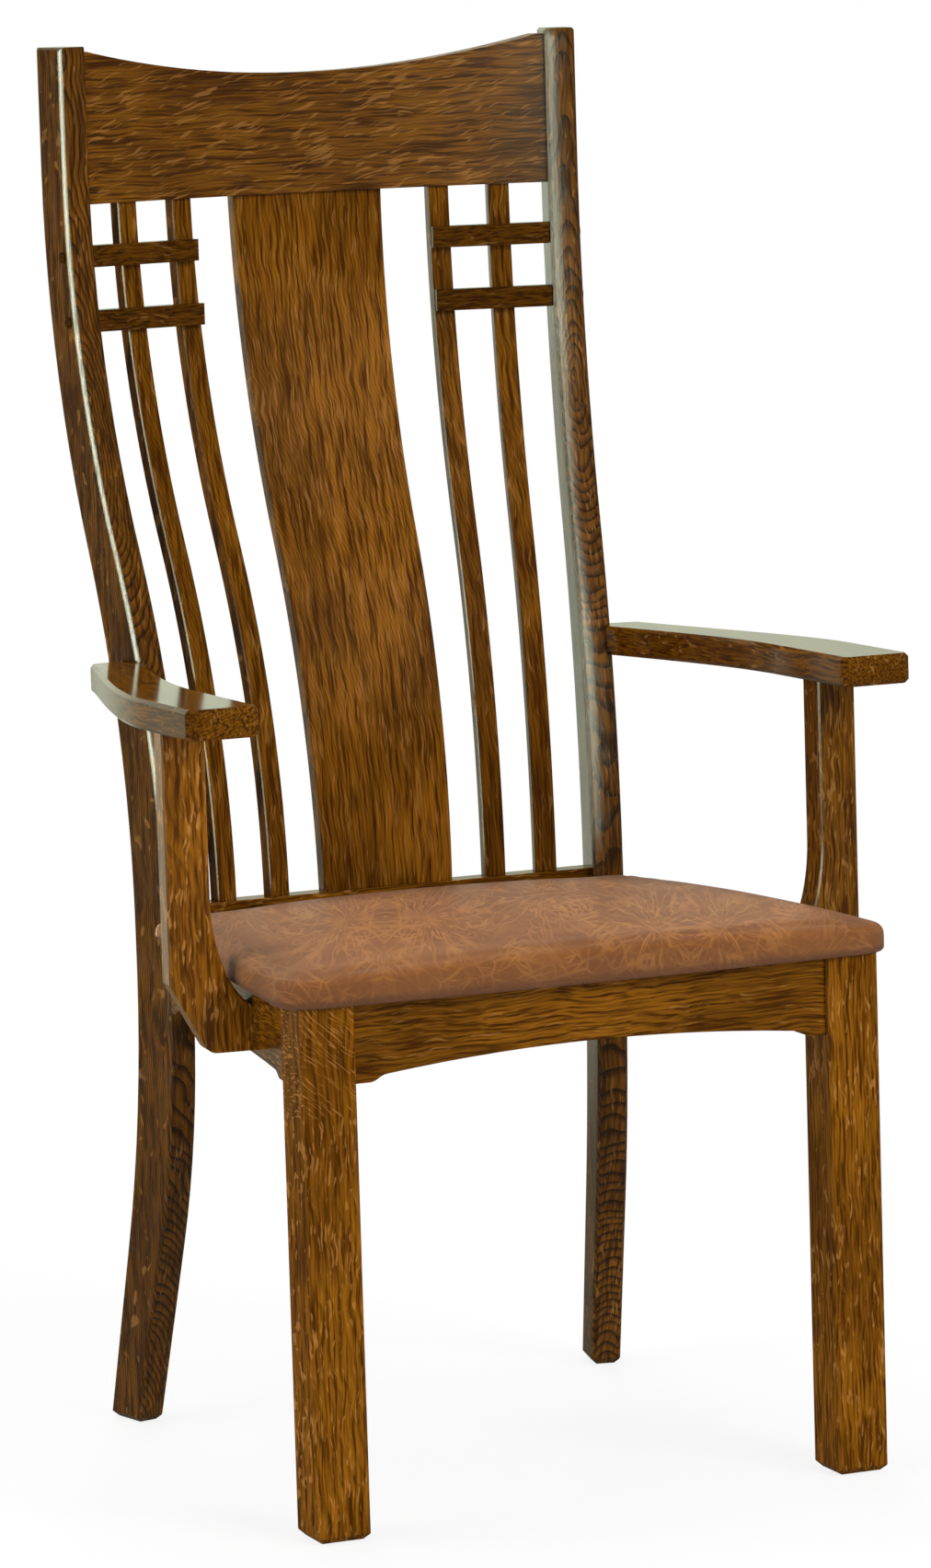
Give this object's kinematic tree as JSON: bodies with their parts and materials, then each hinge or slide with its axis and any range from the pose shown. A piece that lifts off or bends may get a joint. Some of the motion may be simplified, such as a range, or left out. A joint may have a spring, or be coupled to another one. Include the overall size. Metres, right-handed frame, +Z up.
{
  "type": "mission dining armchair",
  "caption": "High-backed oak armchair with a scooped crest rail, broad centre slat, narrow slats crossed by lattice bars, flat arms and an upholstered seat.",
  "frame": {"origin": "on the floor, at the centre of the chair's bounding box in plan", "axes": "+Z up, the sitter faces -Y, +X to the right of someone who looks at the front"},
  "size_m": [0.621, 0.5784, 1.15],
  "materials": {
    "oak": "quarter-sawn oak, medium brown stain under semi-gloss lacquer",
    "hardwood": "bare hardwood, unfinished",
    "plywood": "bare plywood",
    "foam": "upholstery foam",
    "leather": "brown leather with pale veins, low sheen",
    "dust_cloth": "thin black non-woven cloth",
    "steel": "zinc-plated steel"
  },
  "bodies": {
    "root": {"arm_dowels": "hardwood", "arm_left": "oak", "arm_right": "oak", "arm_support_left": "oak", "arm_support_right": "oak", "back_post_left": "oak", "back_post_right": "oak", "block_screws": "steel", "centre_slat": "oak", "corner_block_front_left": "hardwood", "corner_block_front_right": "hardwood", "corner_block_rear_left": "hardwood", "corner_block_rear_right": "hardwood", "crest_rail": "oak", "dust_cover": "dust_cloth", "front_apron": "oak", "front_leg_left": "oak", "front_leg_right": "oak", "inner_slat_left": "oak", "inner_slat_right": "oak", "lattice_bar_lower_left": "oak", "lattice_bar_lower_right": "oak", "lattice_bar_upper_left": "oak", "lattice_bar_upper_right": "oak", "lattice_plugs": "oak", "lattice_screws": "steel", "outer_slat_left": "oak", "outer_slat_right": "oak", "rear_seat_rail": "oak", "seat_board": "plywood", "seat_foam": "foam", "seat_leather": "leather", "seat_screws": "steel", "seat_staples": "steel", "side_rail_left": "oak", "side_rail_right": "oak", "support_screws": "steel"}
  },
  "joints": []
}
